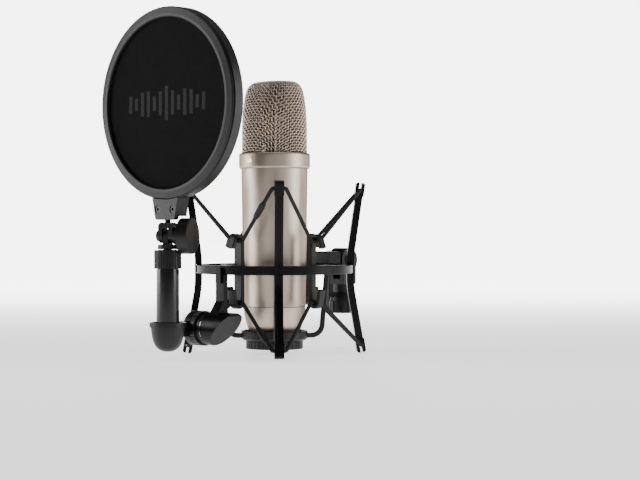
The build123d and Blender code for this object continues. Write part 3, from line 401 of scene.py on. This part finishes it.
def tubes(name, paths, sides, turns=1.0):
    """Round tubes along paths, each (points, radii, closed). V is the distance walked, times turns."""
    verts, faces, coords = [], [], []
    around = np.linspace(0, 2 * math.pi, sides, endpoint=False)
    for points, radii, closed in paths:
        points = np.asarray(points, float)
        count = len(points)
        if closed:
            ahead = np.roll(points, -1, 0) - np.roll(points, 1, 0)
        else:
            ahead = np.gradient(points, axis=0)
        ahead /= np.linalg.norm(ahead, axis=1)[:, None]
        side = np.cross(ahead[0], ASKEW)
        base = len(verts)
        walked = 0.0
        marks = []
        for index in range(count):
            side = side - ahead[index] * side.dot(ahead[index])
            side /= np.linalg.norm(side)
            up = np.cross(ahead[index], side)
            radius = radii if np.isscalar(radii) else radii[index]
            for angle in around:
                verts.append(points[index] + radius * (side * math.cos(angle) + up * math.sin(angle)))
            if index:
                walked += np.linalg.norm(points[index] - points[index - 1])
            marks.append(walked * turns)
        last = count if closed else count - 1
        for index in range(last):
            nxt = (index + 1) % count
            far = marks[nxt] if nxt else marks[-1] + (marks[-1] - marks[-2])
            for k in range(sides):
                j = (k + 1) % sides
                here, there = base + index * sides, base + nxt * sides
                faces.append((here + k, here + j, there + j, there + k))
                u, w = k / sides, (k + 1) / sides
                coords += [(u, marks[index]), (w, marks[index]), (w, far), (u, far)]
        if not closed:
            for end, order in ((0, range(sides - 1, -1, -1)), (count - 1, range(sides))):
                faces.append(tuple(base + end * sides + k for k in order))
                coords += [(0.5, marks[end])] * sides
    mesh = bpy.data.meshes.new(name)
    mesh.from_pydata([tuple(v) for v in verts], [], faces)
    layer = mesh.uv_layers.new(name="UVMap")
    layer.data.foreach_set("uv", np.array(coords, np.float32).ravel())
    mesh.shade_smooth()
    return mesh


# --------------------------------------------------------------- woven grille

# height, half width across, half depth front to back, from the rim down
HEAD = np.array(
    [
        (172.42, 0.01, 0.01),
        (172.3, 8.5, 6.0),
        (171.8, 16.0, 11.0),
        (170.8, 19.0, 13.6),
        (169.2, 21.0, 16.0),
        (167.0, 22.3, 17.8),
        (164.0, 23.1, 19.2),
        (160.0, 23.6, 20.5),
        (155.0, 23.9, 21.7),
        (149.0, 24.0, 22.8),
        (142.0, 24.1, 23.6),
        (134.0, 24.1, 24.05),
        (110.4, 24.1, 24.1),
    ]
)
PROFILE_STEPS = np.diff(np.c_[HEAD[:, 0], (HEAD[:, 1] + HEAD[:, 2]) / 2], axis=0)
WALKED = np.concatenate([[0], np.cumsum(np.linalg.norm(PROFILE_STEPS, axis=1))])
# the shallow cap on top ends at this station
CAP = WALKED[3]
# wires across one face; the lengths below are millimetres
WIRES = 19
WIRE_R = 0.42
WEAVE = 0.41
DEPTH = 0.86
ARCH = 9.0
PITCH = 2.02
ROWS = int((WALKED[-1] - CAP) / PITCH)
SETTLED_AT = 0.62
PINCH = math.radians(2.6)
ARCH_POWER = 2.6
DIAGONAL = math.radians(45)
# points between two crossings of a wire
STEPS = 4
WIRE_SIDES = 6
DIP_LEVELS = 80
SLOPE_REACH = 0.6
LEAN = 0.001
# how far above the collar's seat the lowest wires stop
FOOT = 0.2


def head_point(walked, azimuth, inset):
    """A place on the head, inset from its outside, in millimetres about the microphone's axis."""
    z, across, depth = (np.interp(walked, WALKED, HEAD[:, k]) for k in range(3))
    z2 = np.interp(walked + SLOPE_REACH, WALKED, HEAD[:, 0])
    a2 = np.interp(walked + SLOPE_REACH, WALKED, HEAD[:, 1])
    z1 = np.interp(max(walked - SLOPE_REACH, 0), WALKED, HEAD[:, 0])
    a1 = np.interp(max(walked - SLOPE_REACH, 0), WALKED, HEAD[:, 1])
    slope = Vector((a2 - a1, z2 - z1)).normalized() if (a2 - a1, z2 - z1) != (0, 0) else Vector((0, -1))
    out, up = -slope.y, slope.x
    out, up = (out, up) if up >= 0 else (-out, -up)
    low = max(out, 0.0) * inset
    x = max(across - low, 0.0) * math.sin(azimuth)
    y = -max(depth - low, 0.0) * math.cos(azimuth)
    return np.array((x, y, z - up * inset - LEAN * inset))


def settle(walked):
    """0 at the rim and 1 at the collar: how far the cloth of wire has been drawn together."""
    t = min(max((walked - CAP) / (WALKED[-1] - CAP) / SETTLED_AT, 0), 1)
    return t * t * (3 - 2 * t)


def gather(relative, walked):
    """The four corners of the wire cloth are pinched as it is drawn down over the form."""
    share = abs(relative) / DIAGONAL
    return relative + math.copysign(PINCH * share**3 * settle(walked), relative)


def dip(relative, walked):
    """How far a row hangs below its height in the middle of a face."""
    return ARCH * (abs(relative) / DIAGONAL) ** ARCH_POWER * settle(walked)


def rows_passed(relative):
    """Walked distance against the count of rows crossed, along one wire that runs down a face."""
    level = np.linspace(CAP, WALKED[-1], DIP_LEVELS)
    return np.array([walked + dip(relative, walked) for walked in level]), (level - CAP) / PITCH


def column_path(index, family):
    """One wire: up one face, over the top and down the opposite face."""
    p = -1 + 2 * (index + 0.5) / WIRES
    bottom = math.asin(p * math.sqrt(0.5))
    sign = (1 if index % 2 == 0 else -1) * (1 if family == "across" else -1)
    points = []
    hung, passed = rows_passed(bottom)

    def put(walked, azimuth, crossing):
        lift = WEAVE * sign * math.cos(math.pi * crossing)
        points.append(head_point(walked, azimuth + (0 if family == "across" else math.pi / 2), DEPTH - lift))

    for side in (0, 1):
        levels = np.linspace(0, WALKED[-1] - CAP, ROWS * STEPS)
        levels = levels[::-1] if side == 0 else levels
        for level in levels:
            walked = CAP + level
            relative = gather(bottom, walked)
            azimuth = relative if side == 0 else math.pi - relative
            count = np.interp(walked, hung, passed)
            crossing = -0.5 - count if side == 0 else WIRES - 0.5 + count
            put(walked, azimuth, crossing)
        if side == 0:
            for q in np.linspace(-1, 1, WIRES * STEPS)[1:-1]:
                u = p * math.sqrt(1 - q * q / 2)
                v = q * math.sqrt(1 - p * p / 2)
                radius = math.hypot(u, v)
                put(radius * CAP, math.atan2(u, -v), (q + 1) / 2 * WIRES - 0.5)
    return points


def row_path(index):
    """One wire right round the head."""
    points = []
    per_face = WIRES * STEPS
    for face in range(4):
        for step in range(per_face):
            p = -1 + 2 * (step + 0.5) / per_face
            relative = math.asin(p * math.sqrt(0.5))
            walked = CAP + (index + 0.5) * PITCH
            column = (p + 1) / 2 * WIRES - 0.5
            sign = -1 if (WIRES + index) % 2 == 0 else 1
            sign = sign if face % 2 == 0 else -sign
            lift = WEAVE * sign * math.cos(math.pi * column)
            pinched = gather(relative, walked)
            lower = min(walked + dip(relative, walked), WALKED[-1] - FOOT)
            points.append(head_point(lower, pinched + face * math.pi / 2, DEPTH - lift))
    return points


def on_mic(points):
    turn = Matrix.Rotation(MIC_YAW, 4, "Z")
    return [tuple(MIC + turn @ (Vector(p) * MM)) for p in points]


wires = [(on_mic(column_path(i, f)), WIRE_R * MM, False) for f in ("across", "along") for i in range(WIRES)]
wires += [(on_mic(row_path(i)), WIRE_R * MM, True) for i in range(ROWS)]
woven = add("woven_grille", tubes("woven_grille", wires, WIRE_SIDES), "grille_wire")
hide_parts("grille_mesh")
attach(woven, "cradle")


NET_AROUND, NET_ALONG = 124, 58
NET_DEPTH = 2.25
NET_WIRE = 0.86
NET_MARGIN = 0.8


def lining():
    """Finer inner mesh, as a net of thin square wires."""
    around, along = NET_AROUND, NET_ALONG
    verts, faces = [], []
    for row in range(along + 1):
        walked = NET_MARGIN + (WALKED[-1] - NET_MARGIN - FOOT) * row / along
        verts += [head_point(walked, 2 * math.pi * k / around, NET_DEPTH) for k in range(around)]
    for row in range(along):
        for k in range(around):
            j = (k + 1) % around
            faces.append((row * around + k, (row + 1) * around + k, (row + 1) * around + j, row * around + j))
    mesh = bpy.data.meshes.new("lining_net")
    mesh.from_pydata(on_mic(verts), [], faces)
    net = add("lining_net", mesh, "grille_wire", INNER_MESH)
    wire = net.modifiers.new("net", "WIREFRAME")
    wire.thickness = NET_WIRE * MM
    wire.use_even_offset = False
    return net


net = lining()
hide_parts("grille_lining")
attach(net, "cradle")


# -------------------------------------------------------------- elastic cords

CORD_R = 1.4
CORD_EXIT = 4.9
CORD_BEND = 2.4
HOOK_R = 39.7
CORDS = {
    "upper": ((62.5, 92.6), 55.8, 0.42),
    "lower": ((63.1, -20.8), 11.8, 0.30),
}


def round_corners(corners, radius, steps=5):
    """The corners' polyline with each inner corner turned into a smooth bend."""
    points = [corners[0]]
    for before, here, after in zip(corners, corners[1:], corners[2:]):
        back, on = (before - here).normalized(), (after - here).normalized()
        opening = back.angle(on)
        reach = radius / math.tan(opening / 2)
        a, b = here + back * reach, here + on * reach
        for k in range(steps + 1):
            t = k / steps
            points.append(a * (1 - t) ** 2 + here * 2 * t * (1 - t) + b * t * t)
    points.append(corners[-1])
    return points


def cord_corners(anchor, hook_z, splice_at):
    corners = []
    for quarter in range(4):
        for reach, turn, z in ((anchor[0], 45, anchor[1]), (HOOK_R, 90, hook_z)):
            azimuth = math.radians(quarter * 90 + turn)
            middle = Vector((reach * math.sin(azimuth), -reach * math.cos(azimuth), z))
            along = Vector((math.cos(azimuth), math.sin(azimuth), 0))
            corners += [middle - along * CORD_EXIT, middle + along * CORD_EXIT]
    span = corners[-1] - corners[0]
    splice = corners[0] + span * splice_at
    return [splice, *corners, splice], splice, span.normalized()


def fine(points, step):
    """The same path with a point at least every step."""
    out = [points[0]]
    for a, b in zip(points, points[1:]):
        parts = max(1, math.ceil((b - a).length / step))
        out += [a.lerp(b, k / parts) for k in range(1, parts + 1)]
    return out


# place along the sleeve and radius, for one half of it
SPLICE_HALF = ((3.6, 2.28), (5.5, 2.05), (7.2, 1.76), (7.5, 1.50))
SPLICE = [(-at, r) for at, r in reversed(SPLICE_HALF)] + list(SPLICE_HALF)
CORD_SIDES = 16
CORD_STEP = 1.6
SLEEVE_SIDES = 24
BRAID_TURN = 0.0022

for name, (anchor, hook_z, splice_at) in CORDS.items():
    corners, splice, along = cord_corners(anchor, hook_z, splice_at)
    path = fine(round_corners(corners, CORD_BEND), CORD_STEP)
    path = [MIC + p * MM for p in path]
    sheath = tubes(f"{name}_cord", [(path, CORD_R * MM, False)], CORD_SIDES, 1 / BRAID_TURN)
    cord = add(f"{name}_cord", sheath, "elastic_cord")
    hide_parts(f"{name}_elastic")
    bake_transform(cord)
    sleeve_path = [MIC + (splice + along * at) * MM for at, _ in SPLICE]
    sleeve = add(
        f"{name}_sleeve",
        tubes(f"{name}_sleeve", [(sleeve_path, [r * MM for _, r in SPLICE], False)], SLEEVE_SIDES),
        "splice_rubber",
    )
    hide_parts(f"{name}_splice")
    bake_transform(sleeve)


# --------------------------------------------------------------- filter cloth


CLOTH_R = 0.0636
CLOTH_T = 0.0004
CLOTH_RINGS, CLOTH_AROUND = 44, 168
SWELL = 0.0009
SWELLS = 9


def filter_cloth():
    """Round cloth stretched in the rim, with the faint waves of real tension."""
    rings, around, radius = CLOTH_RINGS, CLOTH_AROUND, CLOTH_R
    turn = Matrix.Rotation(FILTER_YAW, 4, "Z")
    verts = [FILTER_CENTRE]
    for ring in range(1, rings + 1):
        r = radius * ring / rings
        for k in range(around):
            a = 2 * math.pi * k / around
            swell = (ring / rings) ** 2 * (1 - ring / rings) * SWELL
            y = swell * math.sin(a * SWELLS + 2 * math.sin(a * 2))
            verts.append(FILTER_CENTRE + turn @ Vector((r * math.cos(a), y, r * math.sin(a))))
    faces = [(0, 1 + k, 1 + (k + 1) % around) for k in range(around)]
    for ring in range(rings - 1):
        low, high = 1 + ring * around, 1 + (ring + 1) * around
        for k in range(around):
            j = (k + 1) % around
            faces.append((low + k, high + k, high + j, low + j))
    mesh = bpy.data.meshes.new("stretched_cloth")
    mesh.from_pydata([tuple(v) for v in verts], [], faces)
    mesh.shade_smooth()
    cloth = add("stretched_cloth", mesh, "filter_fabric")
    thick = cloth.modifiers.new("thread", "SOLIDIFY")
    thick.thickness = CLOTH_T
    thick.offset = 0.0
    return cloth


cloth = filter_cloth()
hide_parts("filter_cloth")
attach(cloth, "filter")


# ------------------------------------------------------- stage, light, camera


CAMERA_AZIMUTH = math.radians(42)
AWAY = (-math.sin(CAMERA_AZIMUTH), math.cos(CAMERA_AZIMUTH), 0)
CAMERA_REACH = 1.3
EYE_Z = 0.0685
LENS = 99.9
SENSOR = 36.0
SHIFT = (0.0711, -0.0266)
CLIP = (0.05, 60)

FLOOR_SIZE = 9
FLOOR_GAP = 0.0004
FLOOR_ROUGH = 0.7
# painted glow of the floor near the object, kept dim as a painted shadow pool round its base; the floor's
# glow rises to WALL_GLOW towards the wall
FLOOR_GLOW = 1.2
# distances from the origin, away from the camera, between which the floor's glow changes
FLOOR_RISE = (0.08, 1.3)
FLOOR_FALL = (-1.3, -0.7)
ROOM_GLOW = 0.05
WALL_GLOW = 6.0
# cosines of the angle from the middle of the wall, between which its glow grows
WALL_EDGE = (0.945, 0.978)

LIT = (0, -0.09, 0.07)
LAMP_Z = 0.30
# azimuth, distance, size and power of each upright softbox
SOFTBOXES = {
    "key": (-49, 1.7, (0.75, 1.5), 25),
    "side": (118, 1.6, (0.8, 1.5), 17),
}
TOP_LAMP = ((0.0, 0.1, 1.7), (1.3, 1.3), 10)


def from_azimuth(azimuth, reach, z):
    """A place at an azimuth and distance from the microphone's axis."""
    return (reach * math.sin(azimuth), MIC.y - reach * math.cos(azimuth), z)


def reach_along(tree, vector, direction):
    """How far a vector reaches in a direction."""
    made = tree.nodes.new("ShaderNodeVectorMath")
    made.operation = "DOT_PRODUCT"
    made.inputs[1].default_value = direction
    tree.links.new(vector, made.inputs[0])
    return made.outputs["Value"]


def eased(tree, value, start, end, low, high):
    """Goes smoothly from low to high as the value goes from start to end."""
    made = tree.nodes.new("ShaderNodeMapRange")
    made.interpolation_type = "SMOOTHSTEP"
    for socket, number in zip(("From Min", "From Max", "To Min", "To Max"), (start, end, low, high)):
        made.inputs[socket].default_value = number
    tree.links.new(value, made.inputs["Value"])
    return made.outputs["Result"]


def pale():
    """Pale floor with a painted glow: dim near the object as a painted shadow pool round its base,
    brightening towards the wall as painted light, and falling dark behind the camera.
    """
    paint = Paint("floor", FLOOR_ROUGH)
    paint.colour(paint.noise(3, 2), (0.90, 0.90, 0.90), (0.93, 0.93, 0.93))
    reach = reach_along(paint.tree, paint.place, AWAY)
    rise = eased(paint.tree, reach, *FLOOR_RISE, FLOOR_GLOW, WALL_GLOW)
    fall = eased(paint.tree, reach, *FLOOR_FALL, ROOM_GLOW, 1.0)
    paint.shader.inputs["Emission Color"].default_value = (1, 1, 1, 1)
    paint.link(paint.maths("MULTIPLY", rise, fall), paint.shader.inputs["Emission Strength"])
    return paint.mat


def stage_floor():
    bpy.ops.mesh.primitive_plane_add(size=FLOOR_SIZE, location=(0, 0, cad_bounds[0].z - FLOOR_GAP))
    floor = bpy.context.object
    floor.name = "floor"
    floor.data.materials.append(pale())


def softbox(name, place, size, power):
    lamp = bpy.data.lights.new(name, "AREA")
    lamp.shape = "RECTANGLE"
    lamp.size, lamp.size_y = size
    lamp.energy = power
    holder = bpy.data.objects.new(name, lamp)
    holder.location = place
    holder.rotation_mode = "QUATERNION"
    holder.rotation_quaternion = (Vector(LIT) - holder.location).to_track_quat("-Z", "Y")
    bpy.context.scene.collection.objects.link(holder)


def studio_world():
    """Bright wall behind the object and a darker room all round."""
    made = bpy.data.worlds.new("studio")
    made.use_nodes = True
    tree = made.node_tree
    sky = tree.nodes["Background"]
    place = tree.nodes.new("ShaderNodeTexCoord").outputs["Generated"]
    level = eased(tree, reach_along(tree, place, AWAY), *WALL_EDGE, ROOM_GLOW, WALL_GLOW)
    tree.links.new(level, sky.inputs["Strength"])
    sky.inputs["Color"].default_value = (1, 1, 1, 1)
    return made


def place_camera():
    lens = bpy.data.cameras.new("camera")
    lens.sensor_width = SENSOR
    lens.lens = LENS
    lens.shift_x, lens.shift_y = SHIFT
    lens.clip_start, lens.clip_end = CLIP
    camera = bpy.data.objects.new("camera", lens)
    camera.location = from_azimuth(CAMERA_AZIMUTH, CAMERA_REACH, EYE_Z)
    camera.rotation_euler = (math.radians(90), 0, CAMERA_AZIMUTH)
    bpy.context.scene.collection.objects.link(camera)
    bpy.context.scene.camera = camera


stage_floor()
for name, (azimuth, reach, size, power) in SOFTBOXES.items():
    softbox(name, from_azimuth(math.radians(azimuth), reach, LAMP_Z), size, power)
softbox("top", *TOP_LAMP)
bpy.context.scene.world = studio_world()
place_camera()
